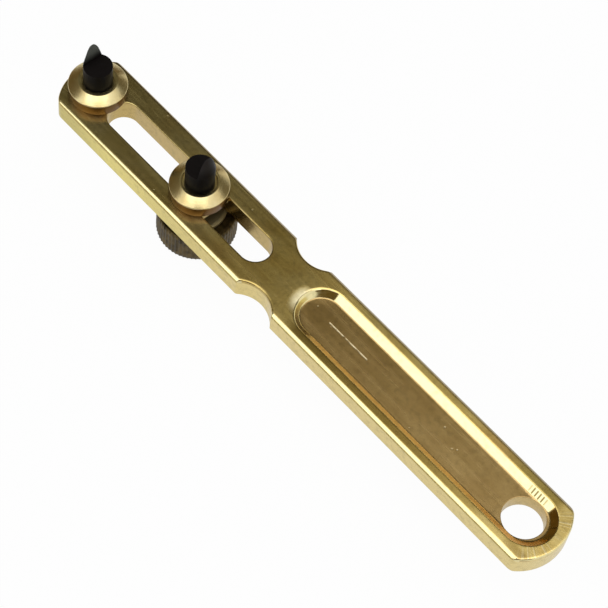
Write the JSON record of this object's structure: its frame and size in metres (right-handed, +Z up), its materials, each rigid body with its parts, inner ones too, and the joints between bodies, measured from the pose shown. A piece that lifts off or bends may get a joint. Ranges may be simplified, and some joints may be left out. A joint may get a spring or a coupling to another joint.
{
  "type": "watch case opener",
  "caption": "Flat brass handle with a sunken panel and hanging hole, a fixed toothed jaw pin and a sliding one locked by a knurled thumb nut.",
  "frame": {"origin": "on the axis of the hanging hole, at the handle's flat underside", "axes": "+X along the handle towards the jaws, +Z up out of the face that carries the jaws, +Y across the handle"},
  "size_m": [0.115, 0.0136, 0.0215],
  "materials": {
    "bar_brass": "drawn and milled, lightly tarnished",
    "turned_brass": "turned, bright",
    "blackened_steel": "hardened and blackened",
    "knurled_steel": "fine straight knurl, black oxide",
    "plain_steel": "plain machine screw"
  },
  "bodies": {
    "handle": {"handle_bar": "bar_brass", "fixed_collar": "turned_brass", "fixed_pin": "blackened_steel", "clamp_screw": "plain_steel"},
    "sliding_jaw": {"sliding_collar": "turned_brass", "sliding_pin": "blackened_steel"},
    "washer": {"thrust_washer": "turned_brass"},
    "nut": {"thumb_nut": "knurled_steel"}
  },
  "joints": [
    {"name": "jaw_slide", "type": "slide", "parent": "handle", "child": "sliding_jaw", "axis": [-1, 0, 0], "range_m": [-0.0152, 0.01]},
    {"name": "nut_travel", "type": "slide", "parent": "sliding_jaw", "child": "washer", "axis": [0, 0, -1], "range_m": [0, 0.00142]},
    {"name": "nut_turn", "type": "hinge", "parent": "washer", "child": "nut", "pos_m": [0.0762, 0, -0.0035], "axis": [0, 0, -1], "range_deg": [0, 720]}
  ],
  "couplings": [
    {"joint": "nut_travel", "follows": "nut_turn", "m_per_rad": 0.00011141}
  ]
}
